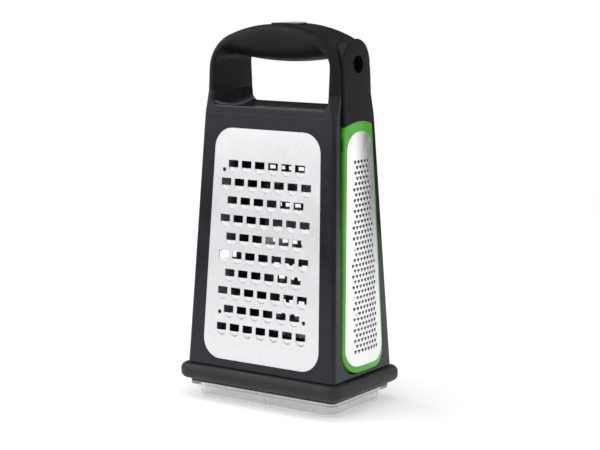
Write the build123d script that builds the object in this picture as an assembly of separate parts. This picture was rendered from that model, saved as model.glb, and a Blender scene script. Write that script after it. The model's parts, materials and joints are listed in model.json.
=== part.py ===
from build123d import *
from math import atan2, cos, pi, sin, sqrt
import os

# A box grater standing on its catch tray. Sizes are millimetres. +X is the side that carries the
# lift-off zester, -Y is the coarse side and +Z is up. The origin is on the table under the middle.
# The tapered housing holds a coarse plate in front, a medium plate behind and a slicing plate on the
# left. A saddle closes its top and carries an arched handle with a soft grip.

# Housing
body_foot = 26.0
body_height = 184.0
base_width = 129.2
base_depth = 77.0
seam_width = 113.8
seam_depth = 52.9
corner_radius = 3.0
inner_corner_radius = 1.5
wall = 2.5
overrun = 3.0

# Windows of the fixed plates, placed up the sloping faces from the housing's lower edge, with
# margins to the housing's corners
window_low = 5.5
window_top_margin = 9.6
wide_window_low_margin = 13.2
wide_window_high_margin = 11.8
wide_window_radius = 15.0
narrow_window_low_margin = 12.1
narrow_window_high_margin = 11.6
narrow_window_low_radius = 11.0
narrow_window_flat = 4.5

# Steel plates
sheet = 0.6
plate_recess = 0.35
plate_gap = 0.15
field_side_margin = 8.0
field_foot_margin = 15.0
pilot_radius = 1.5
pilot_clearance = 3.7
pilot_high_drop = 2.2
pilot_low_drop = 0.5

# Coarse plate: staggered rows of rasp teeth, as many as its field holds below the top margin
coarse_top_margin = 28.3
coarse_pitch_across = 11.57
coarse_pitch_up = 13.2
coarse_tooth_width = 8.4
coarse_tooth_lift = 2.2
coarse_hole_height = 5.0

# Medium plate
medium_top_margin = 26.4
medium_pitch_across = 8.6
medium_pitch_up = 9.4
medium_tooth_width = 5.2
medium_tooth_lift = 1.5
medium_hole_height = 3.0

# Slicing plate: a slot above a raised ramp whose upper edge is the blade
slot_low = 70.0
slot_height = 8.0
slot_side_margin = 3.5
blade_lift = 2.6
blade_ramp = 15.0

# Rings that back the fixed plates
retainer_thickness = 2.0
retainer_lip = 3.0
retainer_overlap = 2.6

# Zester outline, placed up the right side; depths are measured outwards from that side's surface
zester_low = 3.8
zester_low_width = 55.2
zester_neck_width = 35.6
zester_corner_radius = 15.5
zester_top_drop = 2.6
zester_shoulder_drop = 3.4
zester_seat_depth = 5.2
zester_crown = 3.9
zester_crown_radius = 100.0

# Zester steel and the frame around it
zester_sheet = 0.5
zester_rim = 2.5
zester_rim_edge = 0.9
zester_low_rim = 4.5
zester_ledge = 2.2
zester_steel_drop = 7.1
zester_steel_flat = 1.5
zester_steel_gap = 0.05
notch_drop = 19.7
notch_height = 9.0
notch_depth = 1.2
notch_top = 0.7

# Zester teeth: staggered rows, wider downwards
zest_top_margin = 21.4
zest_foot_margin = 8.6
zest_pitch_across = 3.97
zest_pitch_up = 3.83
zest_hole_width = 2.6
zest_hole_height = 2.9
zest_field_width = 17.6
zest_field_limit = 28.5
zest_field_spread_share = 0.148

# Soft handle of the zester
hang_hole_drop = 27.2
hang_hole_radius = 6.35
grip_back = 3.0
grip_bulge = 3.0
grip_bulge_clearance = 0.3
grip_bulge_length = 18.0
grip_edge = 1.6
tang_back = 0.8
tang_thickness = 2.4
tang_inset = 3.0
tang_eye_wall = 2.5
tang_root = 2.0

# Dock of the zester inside the housing's right side
dock_gap = 1.2
dock_wall = 1.4
dock_floor = 1.5
catch_clearance = 0.4
catch_end_clearance = 1.5
neck_floor_gap = 0.6
fit_gap = 0.1

# Saddle, from the housing's top edge up to the foot of the soft grip
saddle_lip = 6.0
post_height = 16.0
saddle_corner_radius = 5.0
saddle_dip = 3.8
saddle_margin = 2.6
skirt_depth = 3.0
skirt_wall = 1.6

# Handle arch
handle_rise = 64.6
handle_side_step = 0.3
handle_crown_radius = 105.0
handle_shoulder_radius = 27.0
handle_edge_radius = 8.0
leg_width = 7.4
bar_height = 27.1
belly_rise = 23.0
belly_overhang = 0.8
belly_sag = 5.0
belly_steps = 12
opening_sag = 0.5
opening_side_radius = 28.2
opening_middle_radius = 5.0
opening_edge_radius = 1.6
core_side_inset = 5.0
core_outer_skin = 3.6
core_inner_skin = 0.9
core_bar_drop = 11.7
core_corner_radius = 18.0
pad_width = 21.0
pad_length = 27.0
pad_corner_radius = 9.0
pad_proud = 0.9
pad_recess = 1.0

# Foot: rigid ring, soft collar and clear catch tray
ring_foot = 11.5
ring_inset = 0.9
ring_corner_radius = 4.0
collar_low = 14.0
collar_reach = 6.0
collar_round = 4.6
collar_corner_radius = 9.0
collar_groove = 0.6
tray_wall = 1.8
tray_flange = 2.2
tray_top_inset = 3.6
tray_bottom_inset = 4.8
tray_corner_radius = 10.0
tray_foot_round = 1.2
spigot_inset = 4.2
spigot_height = 7.0
spigot_gap = 0.4

lean_width = (base_width - seam_width) / 2 / body_height
lean_depth = (base_depth - seam_depth) / 2 / body_height
seam = body_foot + body_height
window_high = body_height - window_top_margin
grip_foot = seam + post_height
handle_height = seam + handle_rise
handle_width = seam_width + 2 * handle_side_step
opening_width = handle_width - 2 * leg_width
belly_low = handle_height - bar_height
zester_top = body_height - zester_top_drop
zester_neck_height = zester_top - zester_shoulder_drop
zester_steel_high = zester_top - zester_steel_drop
notch_low = zester_top - notch_drop
hang_hole_height = body_height + handle_rise - hang_hole_drop
half_turn = 180


def half_width(height):
    """Half the housing's width at a height above the table."""
    return base_width / 2 - lean_width * (height - body_foot)


def half_depth(height):
    """Half the depth of the housing and handle at a height above the table."""
    return base_depth / 2 - lean_depth * (height - body_foot)


def face_plane(outward, across, lean, half_base):
    """Plane of a sloping side: x runs across it, y up it and z out of it."""
    up = Vector(0, 0, 1) - outward * lean
    foot = outward * half_base + Vector(0, 0, body_foot)
    return Plane(origin=foot, x_dir=across, z_dir=across.cross(up))


front_side = face_plane(Vector(0, -1, 0), Vector(1, 0, 0), lean_depth, base_depth / 2)
rear_side = face_plane(Vector(0, 1, 0), Vector(-1, 0, 0), lean_depth, base_depth / 2)
left_side = face_plane(Vector(-1, 0, 0), Vector(0, -1, 0), lean_width, base_width / 2)
right_side = face_plane(Vector(1, 0, 0), Vector(0, 1, 0), lean_width, base_width / 2)


wide_low_half = half_width(body_foot + window_low) - wide_window_low_margin
wide_high_half = half_width(body_foot + window_high) - wide_window_high_margin
narrow_low_half = half_depth(body_foot + window_low) - narrow_window_low_margin
narrow_high_half = half_depth(body_foot + window_high) - narrow_window_high_margin


def rounded_block(half_x, half_y, radius, low, high):
    """An upright block with rounded vertical edges."""
    return extrude(Pos(0, 0, low) * RectangleRounded(2 * half_x, 2 * half_y, radius), high - low)


def body_section(height, inset, radius):
    """The housing's outline at a height, moved inwards by inset."""
    return Pos(0, 0, height) * RectangleRounded(
        2 * (half_width(height) - inset), 2 * (half_depth(height) - inset), radius
    )


def body_block(low, high, inset, radius):
    """A solid with the housing's taper between two heights."""
    return loft([body_section(low, inset, radius), body_section(high, inset, radius)], ruled=True)


def slab(outline, low, high):
    """A sketch drawn on a side, made solid between two depths measured outwards."""
    return extrude(Pos(0, 0, low) * outline, high - low)


def tapered_outline(low, high, low_width, high_width, low_radius, high_radius):
    """A tapered outline with rounded corners."""
    outline = make_face(
        Polyline(
            (-low_width / 2, low),
            (low_width / 2, low),
            (high_width / 2, high),
            (-high_width / 2, high),
            close=True,
        )
    )
    corners = outline.vertices().sort_by(Axis.Y)
    outline = fillet(corners[:2], low_radius)
    corners = outline.vertices().sort_by(Axis.Y)
    return fillet(corners[-2:], high_radius)


def wide_window(grow):
    """Outline of the coarse and medium plates' windows, moved outwards by grow."""
    window = tapered_outline(
        window_low,
        window_high,
        2 * wide_low_half,
        2 * wide_high_half,
        wide_window_radius,
        wide_window_radius,
    )
    return offset(window, grow) if grow else window


def narrow_window(grow):
    """Outline of the slicing plate's window, moved outwards by grow."""
    window = tapered_outline(
        window_low,
        window_high,
        2 * narrow_low_half,
        2 * narrow_high_half,
        narrow_window_low_radius,
        narrow_high_half - narrow_window_flat,
    )
    return offset(window, grow) if grow else window


# Fixed plates


def field_counts(top, pitch_across, pitch_up):
    """The rows of teeth that a wide plate's field holds, and how many its shorter rows hold."""
    rows = 1 + int((top - window_low - field_foot_margin) / pitch_up)
    short_row = int(2 * (min(wide_low_half, wide_high_half) - field_side_margin) / pitch_across)
    return rows, short_row


def staggered_places(rows, short_row, top, pitch_across, pitch_up):
    """Places of teeth in rows that alternate between short_row and one more."""
    places = []
    for row in range(rows):
        count = short_row + row % 2
        for column in range(count):
            places.append(((column - (count - 1) / 2) * pitch_across, top - row * pitch_up))
    return places


def rasp_tooth(half, lift):
    """A tooth pressed out of the sheet: half a thin dome whose open side is the cutting edge."""
    outer_radius = (half**2 + lift**2) / (2 * lift)
    inner_radius = outer_radius - sheet
    centre = lift - outer_radius
    outer_foot = sqrt(outer_radius**2 - (sheet + centre) ** 2)
    inner_foot = sqrt(inner_radius**2 - (sheet + centre) ** 2)
    section = make_face(
        [
            RadiusArc((outer_foot, -sheet), (0, lift), -outer_radius),
            Line((0, lift), (0, lift - sheet)),
            RadiusArc((0, lift - sheet), (inner_foot, -sheet), inner_radius),
            Line((inner_foot, -sheet), (outer_foot, -sheet)),
        ]
    )
    return Rot(0, 0, half_turn) * revolve(Plane.XZ * section, Axis.Z, half_turn)


def rasp_hole(place, half, height):
    """Outline of a tooth's hole: a slot above the cutting edge and a half disc under the dome."""
    across, edge = place
    scoop = half - sheet / 3
    return Wire(
        [
            Line((across - half, edge), (across - half, edge + height)),
            Line((across - half, edge + height), (across + half, edge + height)),
            Line((across + half, edge + height), (across + half, edge)),
            Line((across + half, edge), (across + scoop, edge)),
            ThreePointArc((across + scoop, edge), (across, edge - scoop), (across - scoop, edge)),
            Line((across - scoop, edge), (across - half, edge)),
        ]
    )


def plate_pan(window, holes):
    """A holed sheet set back in its window, with a rim turned in to the ring behind."""
    outline = window(-plate_gap)
    sheet_level = -plate_recess - sheet
    face = Face(outline.face().outer_wire(), holes)
    pan = extrude(Pos(0, 0, sheet_level) * face, sheet, dir=(0, 0, 1))
    return pan + slab(outline - offset(outline, -sheet), -wall, sheet_level)


def rasp_plate(top_margin, pitch_across, pitch_up, width, lift, hole_height):
    """A plate with staggered rasp teeth and three pilot holes beside the shorter rows."""
    top = window_high - top_margin
    rows, short_row = field_counts(top, pitch_across, pitch_up)
    places = staggered_places(rows, short_row, top, pitch_across, pitch_up)
    holes = [rasp_hole(place, width / 2, hole_height) for place in places]
    side = (short_row - 1) / 2 * pitch_across + width / 2 + pilot_clearance
    high = top - pilot_high_drop
    low = top - (rows - 1) // 2 * 2 * pitch_up - pilot_low_drop
    for pilot in [(-side, high), (-side, low), (side, low)]:
        holes.append((Pos(*pilot) * Circle(pilot_radius)).face().outer_wire())
    tooth = rasp_tooth(width / 2, lift)
    teeth = [Pos(across, edge, -plate_recess) * tooth for across, edge in places]
    return plate_pan(wide_window, holes) + teeth


def coarse_plate():
    """The front plate."""
    return front_side * rasp_plate(
        coarse_top_margin,
        coarse_pitch_across,
        coarse_pitch_up,
        coarse_tooth_width,
        coarse_tooth_lift,
        coarse_hole_height,
    )


def medium_plate():
    """The rear plate."""
    return rear_side * rasp_plate(
        medium_top_margin,
        medium_pitch_across,
        medium_pitch_up,
        medium_tooth_width,
        medium_tooth_lift,
        medium_hole_height,
    )


def ramp_block(profile, half):
    """A block across the slicing plate from points given up the plate and outwards."""
    return extrude(Plane.YZ * make_face(Polyline(*profile, close=True)), half, both=True)


def slicer_plate():
    """The left plate with its slot and the raised blade under it."""
    slot_share = (slot_low + slot_height - window_low) / (window_high - window_low)
    window_half = narrow_low_half + (narrow_high_half - narrow_low_half) * slot_share
    half = window_half - slot_side_margin
    slot = Pos(0, slot_low + slot_height / 2) * Rectangle(2 * half, slot_height)
    plate = plate_pan(narrow_window, [slot.face().outer_wire()])
    foot = slot_low - blade_ramp
    sheet_back = -plate_recess - sheet
    plate += ramp_block(
        [(foot, sheet_back), (slot_low, sheet_back), (slot_low, blade_lift), (foot, -plate_recess)],
        half,
    )
    plate -= ramp_block(
        [(foot, sheet_back), (slot_low, sheet_back), (slot_low, blade_lift - sheet)],
        half - sheet,
    )
    return left_side * plate


def retainer(side, window):
    """A ring behind the wall that backs a plate's rim."""
    return side * slab(window(retainer_lip) - window(-retainer_overlap), -wall - retainer_thickness, -wall)


# Zester


def zester_outline(grow):
    """Outline of the whole zester with its handle, moved outwards by grow."""
    outline = make_face(
        Polyline(
            (-zester_low_width / 2, zester_low),
            (zester_low_width / 2, zester_low),
            (zester_neck_width / 2, zester_neck_height),
            (zester_neck_width / 2, hang_hole_height),
            (-zester_neck_width / 2, hang_hole_height),
            (-zester_neck_width / 2, zester_neck_height),
            close=True,
        )
    )
    outline = fillet(outline.vertices().sort_by(Axis.Y)[:2], zester_corner_radius)
    outline += Pos(0, hang_hole_height) * Circle(zester_neck_width / 2)
    return offset(outline, grow) if grow else outline


def frame_region():
    """The part of the zester's outline below the arc where its soft handle begins."""
    half = zester_neck_width / 2
    radius = (half**2 + zester_shoulder_drop**2) / (2 * zester_shoulder_drop)
    centre = zester_top - radius
    return Pos(0, centre) * Circle(radius) + Rectangle(2 * radius, 2 * centre)


def steel_outline(grow):
    """Outline of the zester's steel, one rim inside the frame, moved outwards by grow."""
    spread = (zester_low_width - zester_neck_width) / (zester_neck_height - zester_low)
    low_width = zester_low_width - 2 * zester_rim - spread * zester_low_rim
    high_width = zester_low_width - 2 * zester_rim - spread * (zester_steel_high - zester_low)
    outline = tapered_outline(
        zester_low + zester_low_rim,
        zester_steel_high,
        low_width,
        high_width,
        zester_corner_radius - zester_rim,
        high_width / 2 - zester_steel_flat,
    )
    return offset(outline, grow) if grow else outline


def crown(drop):
    """A long cylinder whose surface is the zester's crowned face, lowered by drop."""
    radius = zester_crown_radius
    disc = Pos(0, zester_crown - radius) * Circle(radius - drop)
    return extrude(Plane.XZ * disc, 2 * hang_hole_height, both=True)


def crowned_block(outline, deep, edge_radius):
    """An outline made solid from a depth up to the crowned face, whose edges are rounded."""
    block = slab(outline, -deep, zester_crown) & crown(0)
    return fillet([edge for edge in block.edges() if edge.center().Z > 0], edge_radius)


def zest_hole():
    """Face of one fine hole, square above and pointed below."""
    half = zest_hole_width / 2
    height = zest_hole_height / 2
    return make_face(
        Polyline((-half, height), (-half, 0), (0, -height), (half, 0), (half, height), close=True)
    )


def zester_plate():
    """Crowned steel sheet with fine holes in staggered rows."""
    holes = []
    hole = zest_hole()
    top = zester_steel_high - zest_top_margin
    rows = 1 + int((top - zester_low - zester_low_rim - zest_foot_margin) / zest_pitch_up)
    for row in range(rows):
        up = top - row * zest_pitch_up
        width = min(zest_field_limit, zest_field_width + zest_field_spread_share * (top - up))
        shift = row % 2 / 2
        reach = int(width / 2 / zest_pitch_across - shift)
        for column in range(-reach - row % 2, reach + 1):
            place = Pos((column + shift) * zest_pitch_across, up)
            holes.append((place * hole).face().outer_wire())
    blank = Face(steel_outline(0).face().outer_wire(), holes)
    blank = extrude(blank, zester_crown, dir=(0, 0, 1))
    return right_side * (blank & (crown(0) - crown(zester_sheet)))


def tang():
    """The flat tongue of the frame inside the soft handle, with an eye around the hanging hole."""
    outline = offset(zester_outline(0), -tang_inset) - frame_region()
    root_height = zester_shoulder_drop + tang_root
    root = Rectangle(zester_neck_width - 2 * tang_inset, root_height)
    outline += Pos(0, zester_top - root_height / 2) * root
    outline -= Pos(0, hang_hole_height) * Circle(hang_hole_radius + tang_eye_wall)
    return slab(outline, -tang_back, tang_thickness - tang_back)


def catch_block(hand, depth, clearance):
    """A block in a side notch, reaching in by depth from the frame's side and short by clearance."""
    middle = notch_low + notch_height / 2
    spread = (zester_low_width - zester_neck_width) / (zester_neck_height - zester_low)
    side = zester_low_width / 2 - spread / 2 * (middle - zester_low)
    reach = depth + dock_gap + fit_gap
    outline = Rectangle(reach, notch_height - 2 * clearance)
    return slab(Pos(hand * (side - depth + reach / 2), middle) * outline, -zester_seat_depth, notch_top)


def zester_frame():
    """Rim around the steel, with side notches for the dock's catches and the handle's tang."""
    frame = crowned_block(zester_outline(0), zester_seat_depth, zester_rim_edge)
    frame &= slab(frame_region(), -zester_seat_depth, zester_crown)
    frame -= slab(steel_outline(-zester_ledge), -zester_seat_depth, zester_crown)
    seat = slab(steel_outline(zester_steel_gap), -zester_seat_depth, zester_crown)
    frame -= seat - crown(zester_sheet + zester_steel_gap)
    frame += tang()
    for hand in (-1, 1):
        frame -= catch_block(hand, notch_depth, 0)
    return right_side * frame


def grip_profile(drop):
    """Everything outwards of the soft handle's back, with the back lowered by drop."""
    back = -grip_back - drop
    low = zester_top - zester_neck_width
    bulge_low = hang_hole_height + hang_hole_radius + grip_bulge_clearance
    bulge_middle = bulge_low + grip_bulge_length / 2
    bulge_high = bulge_low + grip_bulge_length
    outward = handle_shoulder_radius
    profile = make_face(
        [
            Line((low, back), (bulge_low, back)),
            ThreePointArc((bulge_low, back), (bulge_middle, back - grip_bulge), (bulge_high, back)),
            Line((bulge_high, back), (bulge_high, outward)),
            Line((bulge_high, outward), (low, outward)),
            Line((low, outward), (low, back)),
        ]
    )
    return extrude(Plane.YZ * profile, zester_low_width, both=True)


def zester_handle():
    """Soft handle over the tang, its face flush with the steel's crown."""
    deep = grip_back + grip_bulge
    low = zester_top - zester_neck_width
    stem = Rectangle(zester_neck_width, hang_hole_height - low)
    outline = Pos(0, (low + hang_hole_height) / 2) * stem
    outline += Pos(0, hang_hole_height) * Circle(zester_neck_width / 2)
    handle = crowned_block(outline, deep, grip_edge) & grip_profile(0)
    handle -= slab(frame_region(), -deep, zester_crown)
    eye = Pos(0, hang_hole_height) * Circle(hang_hole_radius)
    handle -= slab(eye, -deep, zester_crown)
    return right_side * (handle - tang())


def neck_room():
    """Space for the zester's handle in the saddle and the grip, open outwards."""
    deep = grip_back + grip_bulge + neck_floor_gap
    space = slab(zester_outline(dock_gap), -deep, handle_shoulder_radius)
    return right_side * (space & grip_profile(neck_floor_gap))


def zester_dock():
    """Seat behind the housing's right wall: a ledge under the zester and two side catches."""
    pocket = zester_outline(dock_gap)
    floor = -zester_seat_depth - dock_floor
    dock = slab(zester_outline(dock_gap + dock_wall), floor, -wall)
    dock -= slab(pocket, -zester_seat_depth, -wall)
    dock -= slab(steel_outline(-zester_ledge), floor, -wall)
    for hand in (-1, 1):
        catch = catch_block(hand, notch_depth - catch_clearance, catch_end_clearance)
        dock += catch & slab(pocket, -zester_seat_depth, -wall)
    room = body_block(body_foot, seam - fit_gap, wall, inner_corner_radius)
    return (right_side * dock) & room


# Housing and saddle


def housing():
    """Tapered shell with three plate windows and the zester's pocket."""
    shell = body_block(body_foot, seam, 0, corner_radius)
    shell -= body_block(body_foot, seam, wall, inner_corner_radius)
    shell -= front_side * slab(wide_window(0), -wall - overrun, overrun)
    shell -= rear_side * slab(wide_window(0), -wall - overrun, overrun)
    shell -= left_side * slab(narrow_window(0), -wall - overrun, overrun)
    shell -= right_side * slab(zester_outline(dock_gap), -wall - overrun, overrun)
    return shell


def saddle_opening(floor, beyond):
    """Outline of the finger opening's lower half, from a floor height up past the grip's foot."""
    high = grip_foot + 2 * saddle_corner_radius
    outline = RectangleRounded(opening_width, high - floor, saddle_corner_radius)
    return Plane.XZ.offset(beyond) * (Pos(0, (high + floor) / 2) * outline)


def top_cap():
    """Saddle with a dished top, a post at each end and a skirt inside the housing."""
    high_section = RectangleRounded(handle_width, 2 * half_depth(grip_foot), handle_edge_radius)
    cap = loft([body_section(seam, 0, corner_radius), Pos(0, 0, grip_foot) * high_section], ruled=True)
    lip = seam + saddle_lip
    reach = half_depth(lip) - saddle_margin
    opening = extrude(saddle_opening(lip, 0), base_depth, both=True)
    rim = new_edges(cap, opening, combined=cap - opening)
    cap = fillet([edge for edge in rim if edge.center().Z < grip_foot - fit_gap], opening_edge_radius)
    cap -= loft(
        [saddle_opening(lip, -reach), saddle_opening(lip - saddle_dip, 0), saddle_opening(lip, reach)]
    )
    skirt = body_block(seam - skirt_depth, seam, wall + fit_gap, inner_corner_radius)
    skirt -= body_block(seam - skirt_depth, seam, wall + fit_gap + skirt_wall, inner_corner_radius)
    depth = zester_seat_depth + dock_floor + fit_gap
    skirt -= right_side * slab(zester_outline(dock_gap + dock_wall + fit_gap), -depth, overrun)
    return cap + skirt - neck_room()


# Handle


def on_circle(centre, radius, angle):
    """Point on a circle."""
    return (centre[0] + radius * cos(angle), centre[1] + radius * sin(angle))


def arch_outline(inset):
    """Front view of the handle's outer line, moved inwards by inset."""
    shoulder_x = handle_width / 2 - handle_shoulder_radius
    rise = sqrt((handle_crown_radius - handle_shoulder_radius) ** 2 - shoulder_x**2)
    shoulder_z = handle_height - handle_crown_radius + rise
    angle = atan2(rise, shoulder_x)
    radius = handle_shoulder_radius - inset
    side = handle_width / 2 - inset
    right = (shoulder_x, shoulder_z)
    left = (-shoulder_x, shoulder_z)
    right_high = on_circle(right, radius, angle)
    left_high = on_circle(left, radius, pi - angle)
    return make_face(
        [
            Line((-side, grip_foot), (side, grip_foot)),
            Line((side, grip_foot), (side, shoulder_z)),
            ThreePointArc((side, shoulder_z), on_circle(right, radius, angle / 2), right_high),
            ThreePointArc(right_high, (0, handle_height - inset), left_high),
            ThreePointArc(left_high, on_circle(left, radius, pi - angle / 2), (-side, shoulder_z)),
            Line((-side, shoulder_z), (-side, grip_foot)),
        ]
    )


def arch_block(inset, side_inset):
    """The handle's outer form: its front view with the housing's taper in depth."""
    block = extrude(Plane.XZ * arch_outline(inset), base_depth, both=True)
    low_section = Rectangle(base_width, 2 * (half_depth(grip_foot) - side_inset))
    high_section = Rectangle(base_width, 2 * (half_depth(handle_height) - side_inset))
    sides = loft([Pos(0, 0, grip_foot) * low_section, Pos(0, 0, handle_height) * high_section], ruled=True)
    return block & sides


def opening_outline(turn):
    """The finger opening's outline at one angle of the bar's rounded underside, 0 in its middle."""
    half = opening_width / 2
    radius = opening_side_radius + (opening_middle_radius - opening_side_radius) * cos(turn)
    sag = opening_sag + belly_sag * cos(turn)
    middle = belly_low + belly_rise * (1 - cos(turn))
    bar_radius = (half**2 + sag**2) / (2 * sag)
    rise = sqrt((bar_radius + radius) ** 2 - (half - radius) ** 2)
    shoulder_z = middle + bar_radius - rise
    angle = atan2(rise, radius - half)
    right = (half - radius, shoulder_z)
    left = (radius - half, shoulder_z)
    right_high = on_circle(right, radius, angle)
    left_high = on_circle(left, radius, pi - angle)
    return make_face(
        [
            Line((-half, seam), (half, seam)),
            Line((half, seam), (half, shoulder_z)),
            ThreePointArc((half, shoulder_z), on_circle(right, radius, angle / 2), right_high),
            ThreePointArc(right_high, (0, middle), left_high),
            ThreePointArc(left_high, on_circle(left, radius, pi - angle / 2), (-half, shoulder_z)),
            Line((-half, shoulder_z), (-half, seam)),
        ]
    )


def grip_opening():
    """The finger opening under the bar, whose rounded underside flows into the legs."""
    reach = half_depth(belly_low) + belly_overhang
    sections = []
    for step in range(-belly_steps, belly_steps + 1):
        turn = pi / 2 * step / belly_steps
        sections.append(Plane.XZ.offset(reach * sin(turn)) * opening_outline(turn))
    opening = loft(sections)
    for side in (-1, 1):
        end = Plane.XZ.offset(side * reach) * opening_outline(pi / 2)
        opening += extrude(end, side * overrun)
    return opening


def face_edges(block, low):
    """Edges above a height on the front and rear faces of a block."""
    faces = block.faces().sort_by(Axis.Y)
    return [edge for face in (faces[0], faces[-1]) for edge in face.edges() if edge.center().Z > low]


def grip_solid():
    """The soft grip with its edges rounded, before core, pad and zester are let in."""
    block = arch_block(0, 0)
    block = fillet(face_edges(block, grip_foot + fit_gap), handle_edge_radius)
    opening = grip_opening()
    grip = block - opening
    rim = new_edges(block, opening, combined=grip)
    return fillet([edge for edge in rim if edge.center().Z > grip_foot + fit_gap], opening_edge_radius)


def core_solid():
    """The rigid arch inside the grip."""
    width = opening_width + 2 * core_inner_skin
    high = handle_height - core_bar_drop
    outline = Pos(0, (seam + high) / 2) * RectangleRounded(width, high - seam, core_corner_radius)
    opening = extrude(Plane.XZ * outline, base_depth, both=True)
    return arch_block(core_outer_skin, core_side_inset) - opening


def pad_block(proud, depth):
    """The pad's outline between two surfaces that follow the crown."""
    outline = Pos(0, 0, handle_height) * RectangleRounded(pad_width, pad_length, pad_corner_radius)
    centre = Pos(0, handle_height - handle_crown_radius)
    ring = centre * Circle(handle_crown_radius + proud) - centre * Circle(handle_crown_radius - depth)
    return extrude(outline, handle_edge_radius, both=True) & extrude(Plane.XZ * ring, base_depth, both=True)


def handle_grip():
    """Soft grip over the core, with room for the zester's handle and a seat for the pad."""
    return grip_solid() - core_solid() - neck_room() - pad_block(handle_edge_radius, pad_recess)


def handle_core():
    """Rigid arch that stands on the saddle's posts."""
    return core_solid() - neck_room()


def handle_pad():
    """Bare pad let into the crown of the grip."""
    return pad_block(pad_proud, pad_recess)


# Foot


def spigot_block(grow, low, high):
    """The tray's upper part that fits inside the ring, moved outwards by grow."""
    half_x = base_width / 2 - spigot_inset + grow
    half_y = base_depth / 2 - spigot_inset + grow
    return rounded_block(half_x, half_y, tray_corner_radius + grow, low, high)


def ring_block(low, high):
    """Outer form of the ring and of the tray's flange under it."""
    half_x = base_width / 2 - ring_inset
    half_y = base_depth / 2 - ring_inset
    return rounded_block(half_x, half_y, ring_corner_radius, low, high)


def base_ring():
    """Rigid ring under the housing that the tray clips into."""
    return ring_block(ring_foot, body_foot) - spigot_block(spigot_gap, ring_foot, body_foot)


def base_collar():
    """Soft rounded bumper around the ring."""
    high = body_foot - collar_groove
    half_x = base_width / 2 + collar_reach
    half_y = base_depth / 2 + collar_reach
    collar = rounded_block(half_x, half_y, collar_corner_radius, collar_low, high)
    flat_faces = collar.faces().sort_by(Axis.Z)
    collar = fillet(flat_faces[0].edges() + flat_faces[-1].edges(), collar_round)
    return collar - ring_block(collar_low, high)


def tray_section(height, inset):
    """Outline of the tray's tapered wall at a height, moved inwards by inset."""
    flange_low = ring_foot - tray_flange
    taper = (tray_bottom_inset - tray_top_inset) * (flange_low - height) / flange_low
    total = tray_top_inset + taper + inset
    outline = RectangleRounded(base_width - 2 * total, base_depth - 2 * total, tray_corner_radius - inset)
    return Pos(0, 0, height) * outline


def container():
    """Clear catch tray with a flange under the ring and a spigot inside it."""
    flange_low = ring_foot - tray_flange
    high = ring_foot + spigot_height
    tray = loft([tray_section(0, 0), tray_section(flange_low, 0)], ruled=True)
    tray = fillet(tray.faces().sort_by(Axis.Z)[0].edges(), tray_foot_round)
    tray += ring_block(flange_low, ring_foot)
    tray += spigot_block(0, ring_foot, high)
    inset = spigot_inset + tray_wall
    mouth = RectangleRounded(base_width - 2 * inset, base_depth - 2 * inset, tray_corner_radius - tray_wall)
    return tray - loft([tray_section(tray_wall, tray_wall), Pos(0, 0, high) * mouth], ruled=True)


pieces = {
    "housing": housing,
    "top_cap": top_cap,
    "handle_core": handle_core,
    "handle_grip": handle_grip,
    "handle_pad": handle_pad,
    "coarse_plate": coarse_plate,
    "medium_plate": medium_plate,
    "slicer_plate": slicer_plate,
    "coarse_retainer": lambda: retainer(front_side, wide_window),
    "medium_retainer": lambda: retainer(rear_side, wide_window),
    "slicer_retainer": lambda: retainer(left_side, narrow_window),
    "zester_dock": zester_dock,
    "zester_frame": zester_frame,
    "zester_plate": zester_plate,
    "zester_handle": zester_handle,
    "base_ring": base_ring,
    "base_collar": base_collar,
    "container": container,
}

os.makedirs("parts", exist_ok=True)
for name, make in pieces.items():
    export_step(make(), f"parts/{name}.step")
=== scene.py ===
"""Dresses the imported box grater: finishes for its plastic, soft, steel and clear pieces, the raised
fine teeth of the zester, and a plain studio."""

import json
import math

import bpy
from bpy.props import FloatProperty, FloatVectorProperty, PointerProperty
from mathutils import Matrix, Vector


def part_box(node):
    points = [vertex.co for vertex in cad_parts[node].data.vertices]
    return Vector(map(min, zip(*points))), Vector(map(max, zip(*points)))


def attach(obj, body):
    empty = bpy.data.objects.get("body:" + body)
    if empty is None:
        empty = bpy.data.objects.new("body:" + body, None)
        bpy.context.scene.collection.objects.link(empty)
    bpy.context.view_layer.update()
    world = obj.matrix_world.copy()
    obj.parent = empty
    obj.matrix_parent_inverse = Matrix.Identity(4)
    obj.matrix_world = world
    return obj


bl_info = {
    "name": "Box grater",
    "version": (1, 0, 0),
    "blender": (4, 5, 0),
    "location": "3D View > Sidebar > Grater",
    "description": "Finishes, fine teeth and studio for a box grater with a lift-off zester and catch tray",
    "category": "Object",
}

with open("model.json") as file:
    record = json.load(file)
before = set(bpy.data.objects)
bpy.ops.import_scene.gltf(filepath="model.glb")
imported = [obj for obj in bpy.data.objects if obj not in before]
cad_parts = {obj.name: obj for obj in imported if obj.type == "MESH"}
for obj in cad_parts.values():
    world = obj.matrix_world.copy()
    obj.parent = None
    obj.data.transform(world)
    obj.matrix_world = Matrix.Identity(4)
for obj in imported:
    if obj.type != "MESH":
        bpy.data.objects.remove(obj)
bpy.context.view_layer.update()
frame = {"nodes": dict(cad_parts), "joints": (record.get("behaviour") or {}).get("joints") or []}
nodes = frame["nodes"]

# The right side, which carries the zester, is square to the zester's slide
pull_joint = next(joint for joint in frame["joints"] if joint["name"] == "zester_pull")
pull_axis = Vector(pull_joint["axis"]).normalized()


def side_foot():
    """Middle of the right side's lower edge."""
    low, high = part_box("housing")
    return Vector((high[0], 0.0, low[2]))


# Settings


def length(name, text, value):
    """A length a user can change, in metres."""
    return FloatProperty(
        name=name,
        description=text,
        default=value,
        min=0.0,
        max=10.0,
        precision=5,
        subtype="DISTANCE",
        unit="LENGTH",
    )


def share(name, text, value, high=1.0):
    """A plain number a user can change."""
    return FloatProperty(name=name, description=text, default=value, min=0.0, max=high)


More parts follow.
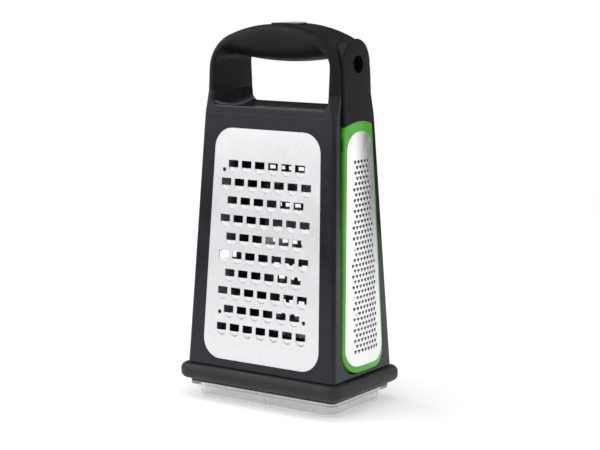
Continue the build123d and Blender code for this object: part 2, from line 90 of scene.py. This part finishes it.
def colour(name, text, value):
    """A colour a user can change, in linear light."""
    return FloatVectorProperty(
        name=name, description=text, default=value, size=3, min=0.0, max=1.0, subtype="COLOR"
    )


def angle(name, text, degrees):
    """An angle a user can change."""
    return FloatProperty(
        name=name, description=text, default=math.radians(degrees), subtype="ANGLE", unit="ROTATION"
    )


class GraterFinishes(bpy.types.PropertyGroup):
    """Colours and surface sizes of the grater's finishes."""

    charcoal: colour("Charcoal plastic", "Housing, saddle, ring and pad", (0.0048, 0.0054, 0.0092))
    black: colour("Black plastic", "Matt plastic of the hidden inner pieces", (0.005, 0.005, 0.006))
    rubber: colour("Soft grip", "Soft plastic of the two handles", (0.0042, 0.0042, 0.0052))
    collar: colour("Soft collar", "Soft plastic of the bumper around the foot", (0.0110, 0.0110, 0.0125))
    green: colour("Green plastic", "Rim of the zester", (0.060, 0.36, 0.016))
    steel: colour("Steel", "Bright steel of the plates", (0.765, 0.767, 0.785))
    fine_steel: colour("Zester steel", "Bright steel of the zester", (0.82, 0.82, 0.83))
    tray: colour("Clear tray", "Clear plastic of the catch tray", (0.93, 0.945, 0.945))
    edge_round: length("Edge rounding", "Radius that light sees on the plastic's edges", 0.00035)
    steel_edge: length("Steel edge", "Radius that light sees on the steel's edges", 0.00012)
    plastic_grain: length("Moulded grain", "Size of the hard plastic's texture", 0.0006)
    inner_grain: length("Inner grain", "Size of the inner pieces' texture", 0.0004)
    grip_grain: length("Grip grain", "Size of the soft pieces' texture", 0.0005)
    # Painted shade on the rim's inner walls fades in over this depth
    rim_shade_depth: length("Rim fade", "Depth over which the walls of the zester's rim get dark", 0.0006)


class GraterTeeth(bpy.types.PropertyGroup):
    """Sizes of the zester's fine teeth, whose rows stand over the holes in the steel."""

    hole_width: length("Hole width", "Width of a fine hole", 0.0026)
    hole_height: length("Hole height", "Height of a fine hole", 0.0029)
    pitch_across: length("Spacing across", "Distance between the teeth of a row", 0.00397)
    pitch_up: length("Row spacing", "Distance between the rows", 0.00383)
    top: length("Top row", "Height of the top row up the side", 0.1529)
    foot: length("Lowest place", "Height that the rows stay above", 0.0169)
    field_width: length("Width at the top", "Width of the field at its top row", 0.0176)
    field_limit: length("Greatest width", "Width that the field doesn't pass", 0.0285)
    field_spread: share("Spread", "How much wider the field gets for each length down the side", 0.148)
    crown: length("Crown", "Height of the steel's crown over the side", 0.0039)
    crown_radius: length("Crown radius", "Radius of the steel's crown", 0.1)
    lip_width: length("Lip width", "Width of the raised lip around a hole", 0.00032)
    lip_side: length("Side lift", "How far the lip stands up beside the hole", 0.00010)
    lip_tip: length("Tip lift", "How far the lip stands up at the hole's lower edge", 0.0004)
    lip_edge: length("Lip edge", "Thickness of the lip's outer edge", 0.00002)


class GraterStudio(bpy.types.PropertyGroup):
    """Camera and light."""

    turn: angle("Turn", "Camera's turn from the front towards the zester", 34.63)
    tilt: angle("Tilt", "Camera's height above the horizon", 7.71)
    distance: length("Distance", "Camera's distance from its target", 1.22304)
    target: length("Target height", "Height of the point the camera looks at", 0.1546)
    lens: share("Lens", "Focal length in millimetres on a 36 mm sensor", 101.03, 300.0)
    shift_x: FloatProperty(name="Shift across", description="Sideways shift of the picture", default=0.0183)
    shift_y: FloatProperty(name="Shift up", description="Upward shift of the picture", default=-0.0597)
    key: share("Key light", "Power of the large light at the left, in watts", 3.0, 500.0)
    high: share("High light", "Power of the light above at the left, in watts", 2.5, 500.0)
    front: share("Front light", "Power of the light at the left front, in watts", 1.5, 500.0)
    side: share("Side light", "Power of the light at the right, beside the zester, in watts", 0.45, 500.0)
    sky: share("Surround", "Strength of the white surround", 1.0, 5.0)
    floor: length("Floor size", "Width of the square floor", 1.8)
    floor_glow: share("Floor glow", "Light that the floor itself gives, as if lit from below", 0.23)
    band: share("Dark band", "How dark the surround is near the horizon", 0.45)
    shade: share("Shade", "How dark the surround is in its two shaded places", 0.9)


# Node trees


class Tree:
    """Adds nodes to one tree and links them."""

    def __init__(self, tree):
        self.tree = tree
        self.column = 0

    def add(self, kind, settings=None, **inputs):
        """A node with its settings, its inputs given by name as values or as sockets to link."""
        node = self.tree.nodes.new(kind)
        self.column += 1
        node.location = (self.column * 180 - 2400, -40 * (self.column % 7))
        for name, value in (settings or {}).items():
            setattr(node, name, value)
        for name, value in inputs.items():
            self.give(node, name.replace("_", " "), value)
        return node

    def give(self, node, name, value):
        """Links a socket to a node's input, or sets its value."""
        socket = node.inputs[int(name[1:])] if name[0] == "#" else node.inputs[name]
        if isinstance(value, bpy.types.NodeSocket):
            self.tree.links.new(value, socket)
        else:
            socket.default_value = value

    def math(self, operation, *values, clamp=False):
        """Result of a Math node."""
        node = self.add("ShaderNodeMath", {"operation": operation, "use_clamp": clamp})
        for at, value in enumerate(values):
            self.give(node, f"#{at}", value)
        return node.outputs[0]

    def noise(self, vector, scale, detail, roughness, distortion=0.0):
        """Grey noise."""
        return self.add(
            "ShaderNodeTexNoise",
            Vector=vector,
            Scale=scale,
            Detail=detail,
            Roughness=roughness,
            Distortion=distortion,
        ).outputs["Fac"]

    def span(self, value, low, high, to_low=0.0, to_high=1.0, smooth=False):
        """A value moved from one range to another and held there."""
        kind = "SMOOTHSTEP" if smooth else "LINEAR"
        node = self.add("ShaderNodeMapRange", {"interpolation_type": kind, "clamp": True})
        for name, given in zip(
            ("Value", "From Min", "From Max", "To Min", "To Max"), (value, low, high, to_low, to_high)
        ):
            self.give(node, name, given)
        return node.outputs[0]

    def stretch(self, vector, scale, turn=(0.0, 0.0, 0.0)):
        """Coordinates turned and scaled by axis."""
        return self.add("ShaderNodeMapping", Vector=vector, Rotation=turn, Scale=scale).outputs[0]

    def dot(self, first, second):
        """How far one vector goes along another."""
        node = self.add("ShaderNodeVectorMath", {"operation": "DOT_PRODUCT"})
        self.give(node, "#0", first)
        self.give(node, "#1", second)
        return node.outputs["Value"]

    def mix(self, share_of, first, second):
        """One colour mixed into another."""
        node = self.add("ShaderNodeMix", {"data_type": "RGBA"})
        for at, value in ((0, share_of), (6, first), (7, second)):
            self.give(node, f"#{at}", value)
        return node.outputs[2]

    def bump(self, height, distance, normal=None):
        """Normal bent by a height from 0 to 1 that stands for distance, in metres."""
        node = self.add("ShaderNodeBump", Height=height, Distance=distance, Strength=1.0)
        if normal is not None:
            self.give(node, "Normal", normal)
        return node.outputs[0]


def group(name, inputs, outputs, build):
    """A shader node group with named sockets, built once."""
    tree = bpy.data.node_groups.get(name)
    if tree:
        return tree
    tree = bpy.data.node_groups.new(name, "ShaderNodeTree")
    for label, kind, value in inputs:
        socket = tree.interface.new_socket(label, in_out="INPUT", socket_type=kind)
        if value is not None:
            socket.default_value = value
    for label, kind in outputs:
        tree.interface.new_socket(label, in_out="OUTPUT", socket_type=kind)
    maker = Tree(tree)
    start = maker.add("NodeGroupInput")
    end = maker.add("NodeGroupOutput")
    for label, socket in build(maker, start.outputs).items():
        maker.give(end, label, socket)
    return tree


FLOAT, VECTOR = "NodeSocketFloat", "NodeSocketVector"


def moulded_skin():
    """Fine texture of a moulded surface: shallow waves and a spark-eroded grain."""

    def build(maker, given):
        at, size = given["Vector"], given["Grain size"]
        fine = maker.math("DIVIDE", 1.0, size)
        grain = maker.noise(at, fine, 2.0, 0.6)
        cells = maker.add("ShaderNodeTexVoronoi", {"feature": "SMOOTH_F1"}, Vector=at, Scale=fine)
        waves = maker.noise(at, maker.math("MULTIPLY", fine, 0.06), 1.0, 0.4)
        mottle = maker.noise(at, maker.math("MULTIPLY", fine, 0.02), 3.0, 0.6)
        pits = maker.math("MULTIPLY", grain, cells.outputs["Distance"])
        return {"Grain": pits, "Waves": waves, "Mottle": mottle}

    return group(
        "Moulded skin",
        [("Vector", VECTOR, None), ("Grain size", FLOAT, 0.0005)],
        [("Grain", FLOAT), ("Waves", FLOAT), ("Mottle", FLOAT)],
        build,
    )


def edges_worn_and_highlit():
    """Rounded edges and a mask of where they are pale: partly rubbed wear, partly painted highlight."""

    def build(maker, given):
        rounded = maker.add("ShaderNodeBevel", {"samples": 6}, Radius=given["Radius"]).outputs[0]
        true = maker.add("ShaderNodeNewGeometry").outputs["True Normal"]
        bent = maker.span(maker.dot(rounded, true), 0.995, 0.80)
        patchy = maker.span(maker.noise(given["Vector"], 180.0, 4.0, 0.65), 0.38, 0.72)
        wear_and_highlight = maker.math("MULTIPLY", bent, maker.math("MULTIPLY_ADD", patchy, 0.7, 0.3), clamp=True)
        return {"Normal": rounded, "Worn": wear_and_highlight}

    return group(
        "Worn edges",
        [("Vector", VECTOR, None), ("Radius", FLOAT, 0.0003)],
        [("Normal", VECTOR), ("Worn", FLOAT)],
        build,
    )


# Depths of the scratches and of the steel's grain, in metres
plastic_scratch = 0.000004
steel_scratch = 0.0000015
tray_scratch = 0.000006
steel_grain = 0.0000007

# Each set of scratches has its turn and how close together its lines are
scratch_ways = (
    ((0.3, 0.9, 0.4), 900.0),
    ((1.2, 0.2, 2.1), 1100.0),
    ((2.3, 1.4, 0.2), 800.0),
)


def handling_marks():
    """Smudges from hands and hairline scratches from washing up."""

    def build(maker, given):
        at = given["Vector"]
        broad = maker.noise(at, 22.0, 3.0, 0.55, 0.6)
        prints = maker.noise(at, 95.0, 5.0, 0.7, 1.2)
        smudge = maker.math("MULTIPLY", maker.span(broad, 0.42, 0.66), maker.span(prints, 0.35, 0.7))
        lines = []
        for turn, across in scratch_ways:
            streak = maker.noise(maker.stretch(at, (across, 14.0, 14.0), turn), 1.0, 2.0, 0.5)
            lines.append(maker.span(streak, 0.66, 0.74))
        scratch = maker.math("MAXIMUM", lines[0], maker.math("MAXIMUM", lines[1], lines[2]))
        sparse = maker.span(maker.noise(at, 60.0, 2.0, 0.5), 0.45, 0.62)
        return {"Smudge": smudge, "Scratch": maker.math("MULTIPLY", scratch, sparse)}

    return group(
        "Handling marks",
        [("Vector", VECTOR, None)],
        [("Smudge", FLOAT), ("Scratch", FLOAT)],
        build,
    )


def rolled_grain():
    """Fine parallel lines of rolled and brushed steel, running along Z."""

    def build(maker, given):
        at = given["Vector"]
        fine = maker.noise(maker.stretch(at, (2600.0, 2600.0, 26.0)), 1.0, 3.0, 0.65)
        soft = maker.noise(maker.stretch(at, (420.0, 420.0, 5.0)), 1.0, 3.0, 0.6)
        cloud = maker.noise(at, 16.0, 4.0, 0.55, 0.4)
        streak = maker.math("ADD", maker.math("MULTIPLY", fine, 0.6), maker.math("MULTIPLY", soft, 0.4))
        return {"Streak": streak, "Cloud": cloud}

    return group("Rolled grain", [("Vector", VECTOR, None)], [("Streak", FLOAT), ("Cloud", FLOAT)], build)


def start_material(name):
    """A new material with an empty tree: its maker, shader and object coordinates."""
    material = bpy.data.materials.new(name)
    material.use_nodes = True
    material.node_tree.nodes.clear()
    maker = Tree(material.node_tree)
    at = maker.add("ShaderNodeTexCoord").outputs["Object"]
    shader = maker.add("ShaderNodeBsdfPrincipled")
    maker.add("ShaderNodeOutputMaterial", Surface=shader.outputs[0])
    return material, maker, shader, at


def place(maker, tree, **inputs):
    """A group node with its inputs."""
    node = maker.add("ShaderNodeGroup", {"node_tree": tree})
    for name, value in inputs.items():
        maker.give(node, name.replace("_", " "), value)
    return node.outputs


def rgba(value, factor=1.0):
    """A linear colour as four numbers, brighter or darker by factor."""
    return (*(min(1.0, part * factor) for part in value[:3]), 1.0)


def plastic(name, base, gloss, shine, grain, grain_depth, wave_depth, edge_wear_and_highlight):
    """Moulded plastic: gloss is its lowest and highest roughness, shine how strongly it mirrors, and
    the last how pale its edges get, partly from wear and partly as painted highlight. Returns the
    material and its shader."""
    finishes = bpy.context.scene.grater_finishes
    material, maker, shader, at = start_material(name)
    skin = place(maker, moulded_skin(), Vector=at, Grain_size=grain)
    marks = place(maker, handling_marks(), Vector=at)
    edges = place(maker, edges_worn_and_highlit(), Vector=at, Radius=finishes.edge_round)
    tone = maker.mix(maker.span(skin["Mottle"], 0.35, 0.65), rgba(base, 0.9), rgba(base, 1.12))
    # Pale edges: partly rubbed wear, partly painted highlight
    tone = maker.mix(maker.math("MULTIPLY", edges["Worn"], edge_wear_and_highlight), tone, rgba([0.25 + part for part in base]))
    maker.give(shader, "Base Color", tone)
    rough = maker.span(skin["Mottle"], 0.3, 0.7, *gloss)
    rough = maker.math("ADD", rough, maker.math("MULTIPLY", marks["Smudge"], 0.10))
    rough = maker.math("ADD", rough, maker.math("MULTIPLY", edges["Worn"], 0.15), clamp=True)
    maker.give(shader, "Roughness", rough)
    waves = maker.bump(skin["Waves"], wave_depth, normal=edges["Normal"])
    lines = maker.bump(marks["Scratch"], -plastic_scratch, normal=waves)
    maker.give(shader, "Normal", maker.bump(skin["Grain"], grain_depth, normal=lines))
    shader.inputs["IOR"].default_value = 1.5
    shader.inputs["Specular IOR Level"].default_value = shine
    return material, shader


# Lowest and highest roughness of the steel
steel_gloss = (0.25, 0.32)


def steel(name, base):
    """Bright rolled steel, with painted shade where it looks into the box."""
    material, maker, shader, at = start_material(name)
    grain = place(maker, rolled_grain(), Vector=at)
    marks = place(maker, handling_marks(), Vector=at)
    radius = bpy.context.scene.grater_finishes.steel_edge
    edges = place(maker, edges_worn_and_highlit(), Vector=at, Radius=radius)
    tone = maker.mix(maker.span(grain["Cloud"], 0.35, 0.65), rgba(base, 0.97), rgba(base, 1.02))
    faint = maker.math("MULTIPLY", maker.span(grain["Streak"], 0.4, 0.6), 0.12)
    tone = maker.mix(faint, tone, rgba(base, 0.9))
    # Painted shade: faces that look into the box are painted much darker
    tone = maker.mix(looks_inward(maker, at, (1.0, 1.0, 0.0)), tone, rgba(base, 0.4))
    maker.give(shader, "Base Color", tone)
    rough = maker.span(grain["Streak"], 0.35, 0.65, *steel_gloss)
    rough = maker.math("ADD", rough, maker.math("MULTIPLY", marks["Smudge"], 0.08), clamp=True)
    maker.give(shader, "Roughness", rough)
    lines = maker.bump(grain["Streak"], steel_grain, normal=edges["Normal"])
    maker.give(shader, "Normal", maker.bump(marks["Scratch"], -steel_scratch, normal=lines))
    shader.inputs["Metallic"].default_value = 1.0
    return material


def looks_inward(maker, at, axes):
    """1 on faces that look towards the middle of the grater along the axes that are 1, else 0."""
    normal = maker.add("ShaderNodeNewGeometry").outputs["True Normal"]
    return maker.span(maker.dot(maker.stretch(at, axes), normal), 0.0, -0.01)


def wear_finish(material, *names):
    """Gives CAD nodes a material, in their own material slots."""
    for name in names:
        for slot in nodes[name].material_slots:
            slot.material = material


# Fine teeth


def choose(mesh, test):
    """Selects the vertices that pass a test, in edit mode."""
    bpy.ops.object.mode_set(mode="OBJECT")
    for part in (*mesh.polygons, *mesh.edges):
        part.select = False
    for vertex in mesh.vertices:
        vertex.select = test(vertex.co)
    bpy.ops.object.mode_set(mode="EDIT")


def fine_tooth(sizes):
    """One lip, lying flat around its hole: a pentagon, raised along its inner edge and most at its
    low point."""
    half = sizes.hole_width / 2
    high = sizes.hole_height / 2
    lip = sizes.lip_width
    bpy.ops.object.select_all(action="DESELECT")
    bpy.ops.mesh.primitive_plane_add(size=1.0)
    tooth = bpy.context.object
    tooth.scale = (2 * (half + lip), high + lip, 1.0)
    tooth.location = (0.0, (lip - high) / 2 - lip / 2, 0.0)
    bpy.ops.object.transform_apply(location=True, rotation=True, scale=True)
    mesh = tooth.data
    bpy.ops.object.mode_set(mode="EDIT")
    bpy.ops.mesh.select_mode(type="VERT")
    choose(mesh, lambda at: at.y > -lip / 2)
    bpy.ops.mesh.subdivide(number_cuts=1)
    choose(mesh, lambda at: at.y > -lip / 2 and abs(at.x) < half / 2)
    bpy.ops.transform.translate(value=(0.0, high + lip / 2, 0.0))
    bpy.ops.mesh.select_all(action="SELECT")
    bpy.ops.mesh.inset(thickness=lip, use_even_offset=True)
    bpy.ops.mesh.delete(type="FACE")
    bpy.ops.mesh.select_all(action="SELECT")
    bpy.ops.mesh.extrude_region_move(TRANSFORM_OT_translate={"value": (0.0, 0.0, sizes.lip_edge)})
    inner = half + lip / 2
    choose(mesh, lambda at: at.z > 0 and abs(at.x) < inner and -high - lip / 2 < at.y < high + lip / 2)
    bpy.ops.transform.translate(value=(0.0, 0.0, sizes.lip_side))
    choose(mesh, lambda at: at.z > sizes.lip_side and at.y > high / 2)
    bpy.ops.transform.translate(value=(0.0, 0.0, sizes.lip_tip - sizes.lip_side))
    bpy.ops.mesh.select_all(action="SELECT")
    bpy.ops.transform.rotate(value=math.pi, orient_axis="Z", center_override=(0.0, 0.0, 0.0))
    bpy.ops.mesh.normals_make_consistent(inside=False)
    bpy.ops.object.mode_set(mode="OBJECT")
    return tooth


def fine_places(sizes):
    """Places of the fine teeth across and up the side, in staggered rows that widen downwards."""
    rows = 1 + int((sizes.top - sizes.foot) / sizes.pitch_up)
    places = []
    for row in range(rows):
        up = sizes.top - row * sizes.pitch_up
        width = min(sizes.field_limit, sizes.field_width + sizes.field_spread * (sizes.top - up))
        shift = row % 2 / 2
        reach = int(width / 2 / sizes.pitch_across - shift)
        for column in range(-reach - row % 2, reach + 1):
            places.append(((column + shift) * sizes.pitch_across, up))
    return places


# Pieces


class GraterShell(bpy.types.Operator):
    """Glossy charcoal plastic of the housing, saddle, ring and pad"""

    bl_idname = "grater.shell"
    bl_label = "Shell"

    def execute(self, context):
        finishes = context.scene.grater_finishes
        material, _ = plastic(
            "Glossy charcoal plastic",
            finishes.charcoal,
            gloss=(0.13, 0.22),
            shine=0.34,
            grain=finishes.plastic_grain,
            grain_depth=0.000001,
            wave_depth=0.00002,
            edge_wear_and_highlight=0.15,
        )
        wear_finish(material, "housing", "top_cap", "base_ring", "handle_pad")
        return {"FINISHED"}


class GraterInside(bpy.types.Operator):
    """Matt black plastic of the dock, the backing rings and the handle's core"""

    bl_idname = "grater.inside"
    bl_label = "Inner pieces"

    def execute(self, context):
        finishes = context.scene.grater_finishes
        material, _ = plastic(
            "Matt black plastic",
            finishes.black,
            gloss=(0.42, 0.55),
            shine=0.5,
            grain=finishes.inner_grain,
            grain_depth=0.00001,
            wave_depth=0.00002,
            edge_wear_and_highlight=0.22,
        )
        rings = [name for name in nodes if name.endswith("_retainer")]
        wear_finish(material, "zester_dock", "handle_core", *rings)
        return {"FINISHED"}


class GraterGrips(bpy.types.Operator):
    """Soft plastic of the handle, the zester's handle and the collar"""

    bl_idname = "grater.grips"
    bl_label = "Soft grips"

    def execute(self, context):
        finishes = context.scene.grater_finishes
        texture = {"grain": finishes.grip_grain, "wave_depth": 0.00003, "edge_wear_and_highlight": 0.10}
        material, _ = plastic(
            "Soft grip", finishes.rubber, gloss=(0.46, 0.60), shine=0.2, grain_depth=0.00003, **texture
        )
        wear_finish(material, "handle_grip", "zester_handle")
        material, _ = plastic(
            "Soft collar", finishes.collar, gloss=(0.40, 0.52), shine=0.36, grain_depth=0.00002, **texture
        )
        wear_finish(material, "base_collar")
        return {"FINISHED"}


class GraterPlates(bpy.types.Operator):
    """Bright steel of the coarse, medium and slicing plates"""

    bl_idname = "grater.plates"
    bl_label = "Steel plates"

    def execute(self, context):
        finishes = context.scene.grater_finishes
        material = steel("Bright steel", finishes.steel)
        wear_finish(material, "coarse_plate", "medium_plate", "slicer_plate")
        return {"FINISHED"}


class GraterZesterRim(bpy.types.Operator):
    """Green plastic of the zester's rim, with painted shade on its walls behind the steel"""

    bl_idname = "grater.zester_rim"
    bl_label = "Zester rim"

    def execute(self, context):
        finishes = context.scene.grater_finishes
        material, shader = plastic(
            "Green plastic",
            finishes.green,
            gloss=(0.20, 0.30),
            shine=0.4,
            grain=finishes.plastic_grain,
            grain_depth=0.000002,
            wave_depth=0.00003,
            edge_wear_and_highlight=0.25,
        )
        maker = Tree(material.node_tree)
        at = maker.add("ShaderNodeTexCoord").outputs["Object"]
        level = side_foot().dot(pull_axis)
        # Painted shade: the rim's inner walls below its face are painted nearly black
        deep = maker.span(maker.dot(at, pull_axis), level, level - finishes.rim_shade_depth)
        inner = maker.math("MULTIPLY", deep, looks_inward(maker, at, (0.0, 1.0, 0.0)))
        tone = shader.inputs["Base Color"].links[0].from_socket
        maker.give(shader, "Base Color", maker.mix(inner, tone, rgba(finishes.green, 0.1)))
        wear_finish(material, "zester_frame")
        return {"FINISHED"}


class GraterZesterSteel(bpy.types.Operator):
    """Bright steel of the zester"""

    bl_idname = "grater.zester_steel"
    bl_label = "Zester steel"

    def execute(self, context):
        finishes = context.scene.grater_finishes
        material = steel("Zester steel", finishes.fine_steel)
        wear_finish(material, "zester_plate")
        return {"FINISHED"}


class GraterFineTeeth(bpy.types.Operator):
    """Raised lips of the zester's fine teeth, around the holes of its steel"""

    bl_idname = "grater.fine_teeth"
    bl_label = "Fine teeth"

    def execute(self, context):
        sizes = context.scene.grater_teeth
        tooth = fine_tooth(sizes)
        side = Vector((0.0, 1.0, 0.0))
        to_side = Matrix((side, pull_axis.cross(side), pull_axis)).transposed().to_4x4()
        to_side.translation = side_foot()
        bpy.ops.object.select_all(action="DESELECT")
        for across, up in fine_places(sizes):
            tilt = math.asin(across / sizes.crown_radius)
            out = sizes.crown - sizes.crown_radius * (1.0 - math.cos(tilt))
            mesh = tooth.data.copy()
            spot = Matrix.Translation((across, up, out - sizes.lip_edge)) @ Matrix.Rotation(tilt, 4, "Y")
            mesh.transform(to_side @ spot)
            copy = bpy.data.objects.new("fine_teeth", mesh)
            context.scene.collection.objects.link(copy)
            copy.select_set(True)
            context.view_layer.objects.active = copy
        bpy.ops.object.join()
        teeth = context.view_layer.objects.active
        teeth.name = "fine_teeth"
        bpy.data.objects.remove(tooth)
        teeth.data.materials.append(bpy.data.materials["Zester steel"])
        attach(teeth, "zester")
        return {"FINISHED"}


class GraterTray(bpy.types.Operator):
    """Clear plastic of the catch tray"""

    bl_idname = "grater.tray"
    bl_label = "Catch tray"

    def execute(self, context):
        finishes = context.scene.grater_finishes
        material, maker, shader, at = start_material("Clear tray plastic")
        marks = place(maker, handling_marks(), Vector=at)
        skin = place(maker, moulded_skin(), Vector=at, Grain_size=finishes.plastic_grain)
        base = finishes.tray
        maker.give(shader, "Base Color", maker.mix(marks["Smudge"], rgba(base), rgba(base, 0.93)))
        rough = maker.math("MULTIPLY_ADD", marks["Smudge"], 0.12, 0.12)
        rough = maker.math("ADD", rough, maker.math("MULTIPLY", marks["Scratch"], 0.15), clamp=True)
        maker.give(shader, "Roughness", rough)
        waves = maker.bump(skin["Waves"], 0.00002)
        maker.give(shader, "Normal", maker.bump(marks["Scratch"], -tray_scratch, normal=waves))
        shader.inputs["Transmission Weight"].default_value = 0.8
        shader.inputs["IOR"].default_value = 1.53
        wear_finish(material, "container")
        return {"FINISHED"}


# Studio


def area_light(name, spot, aim, size, power):
    """A soft rectangular light at spot that faces aim."""
    light = bpy.data.lights.new(name, "AREA")
    light.shape = "RECTANGLE"
    light.size, light.size_y = size
    light.energy = power
    lamp = bpy.data.objects.new(name, light)
    lamp.visible_camera = False
    bpy.context.scene.collection.objects.link(lamp)
    lamp.location = spot
    lamp.rotation_euler = (Vector(aim) - Vector(spot)).to_track_quat("-Z", "Y").to_euler()


def towards(maker, way, turn, rise, wide, narrow):
    """1 within narrow of a direction and 0 beyond wide, in degrees; its turn is from +Y towards +X."""
    turn, rise = math.radians(turn), math.radians(rise)
    aim = (math.sin(turn) * math.cos(rise), math.cos(turn) * math.cos(rise), math.sin(rise))
    edges = (math.cos(math.radians(wide)), math.cos(math.radians(narrow)))
    return maker.span(maker.dot(way, aim), *edges, smooth=True)


# Where the surround is shaded: turn, rise and the angles where the shade ends and is full
shaded_places = ((36.0, -1.0, 35.0, 12.0), (-35.0, 42.0, 34.0, 26.0))


def surround(studio):
    """A white surround with a dark band near the horizon and shaded places, which the camera sees as
    plain white."""
    world = bpy.data.worlds.new("Surround")
    bpy.context.scene.world = world
    world.use_nodes = True
    world.node_tree.nodes.clear()
    maker = Tree(world.node_tree)
    way = maker.add("ShaderNodeTexCoord").outputs["Generated"]
    up = maker.add("ShaderNodeSeparateXYZ", Vector=way).outputs["Z"]
    above = maker.span(up, -0.1, 0.6, 0.86, 1.0, smooth=True)
    over = maker.span(up, -0.24, -0.16, smooth=True)
    under = maker.span(up, 0.07, 0.02, smooth=True)
    band = maker.math("MULTIPLY", over, under)
    lit = maker.math("SUBTRACT", 1.0, maker.math("MULTIPLY", band, studio.band))
    for shaded in shaded_places:
        dark = maker.math("MULTIPLY", towards(maker, way, *shaded), studio.shade)
        lit = maker.math("MULTIPLY", lit, maker.math("SUBTRACT", 1.0, dark))
    strength = maker.math("MULTIPLY", maker.math("MULTIPLY", lit, above), studio.sky)
    light = maker.add("ShaderNodeBackground", Strength=strength)
    plain = maker.add("ShaderNodeBackground", Strength=1.0)
    for background in (light, plain):
        background.inputs["Color"].default_value = (1.0, 1.0, 1.0, 1.0)
    seen = maker.add("ShaderNodeLightPath").outputs["Is Camera Ray"]
    both = maker.add("ShaderNodeMixShader", Fac=seen)
    maker.give(both, "#1", light.outputs[0])
    maker.give(both, "#2", plain.outputs[0])
    maker.add("ShaderNodeOutputWorld", Surface=both.outputs[0])


def lay_floor(studio):
    """A pale floor that gives a little light of its own."""
    bpy.ops.object.select_all(action="DESELECT")
    bpy.ops.mesh.primitive_plane_add(size=studio.floor, location=(0.0, 0.0, 0.0))
    floor = bpy.context.object
    floor.name = "floor"
    material, maker, shader, at = start_material("White floor")
    cloud = maker.span(maker.noise(at, 3.0, 2.0, 0.5), 0.3, 0.7, 0.93, 0.95)
    white = maker.add("ShaderNodeCombineColor", Red=cloud, Green=cloud, Blue=cloud)
    maker.give(shader, "Base Color", white.outputs[0])
    shader.inputs["Roughness"].default_value = 0.8
    shader.inputs["Specular IOR Level"].default_value = 0.0
    shader.inputs["Emission Color"].default_value = (1.0, 1.0, 1.0, 1.0)
    shader.inputs["Emission Strength"].default_value = studio.floor_glow
    floor.data.materials.append(material)


# Each light's setting, spot, aim and size
lights = (
    ("key", (-1.0, -1.1, 1.15), (0.0, 0.0, 0.1), (1.2, 0.9)),
    ("high", (-0.67, -0.16, 1.2), (0.0, 0.0, 0.2), (0.5, 0.5)),
    ("front", (-0.68, -0.99, 0.5), (0.0, 0.0, 0.25), (0.8, 0.65)),
    ("side", (0.515, 0.39, 0.18), (0.06, 0.0, 0.11), (0.34, 0.34)),
)


class GraterStage(bpy.types.Operator):
    """Pale floor, soft studio light and the camera"""

    bl_idname = "grater.stage"
    bl_label = "Studio"

    def execute(self, context):
        studio = context.scene.grater_studio
        lay_floor(studio)
        surround(studio)
        for name, spot, aim, size in lights:
            area_light(name, spot, aim, size, getattr(studio, name))

        view = bpy.data.cameras.new("camera")
        camera = bpy.data.objects.new("camera", view)
        context.scene.collection.objects.link(camera)
        flat = studio.distance * math.cos(studio.tilt)
        camera.location = (
            flat * math.sin(studio.turn),
            -flat * math.cos(studio.turn),
            studio.target + studio.distance * math.sin(studio.tilt),
        )
        aim = Vector((0.0, 0.0, studio.target)) - camera.location
        camera.rotation_euler = aim.to_track_quat("-Z", "Y").to_euler()
        view.sensor_width = 36.0
        view.lens = studio.lens
        view.shift_x, view.shift_y = studio.shift_x, studio.shift_y
        view.clip_start, view.clip_end = 0.05, 50.0
        context.scene.camera = camera
        context.scene.view_settings.view_transform = "Standard"
        return {"FINISHED"}


class GraterPanel(bpy.types.Panel):
    """Lists the grater's pieces and settings"""

    bl_idname = "VIEW3D_PT_grater"
    bl_label = "Box grater"
    bl_space_type = "VIEW_3D"
    bl_region_type = "UI"
    bl_category = "Grater"

    def draw(self, context):
        column = self.layout.column()
        for operator in operators:
            column.operator(operator.bl_idname)
        for held, made in groups:
            for name in made.__annotations__:
                column.prop(getattr(context.scene, held), name)


groups = (
    ("grater_finishes", GraterFinishes),
    ("grater_teeth", GraterTeeth),
    ("grater_studio", GraterStudio),
)
operators = (
    GraterShell,
    GraterInside,
    GraterGrips,
    GraterPlates,
    GraterZesterRim,
    GraterZesterSteel,
    GraterFineTeeth,
    GraterTray,
    GraterStage,
)


def register():
    """Registers the settings, operators and panel."""
    for name, made in groups:
        bpy.utils.register_class(made)
        setattr(bpy.types.Scene, name, PointerProperty(type=made))
    for made in (*operators, GraterPanel):
        bpy.utils.register_class(made)


def unregister():
    """Takes them out again."""
    for made in (GraterPanel, *reversed(operators)):
        bpy.utils.unregister_class(made)
    for name, made in reversed(groups):
        delattr(bpy.types.Scene, name)
        bpy.utils.unregister_class(made)


def main():
    """Makes every piece in order."""
    register()
    for operator in operators:
        section, name = operator.bl_idname.split(".")
        getattr(getattr(bpy.ops, section), name)()


if __name__ == "__main__":
    main()
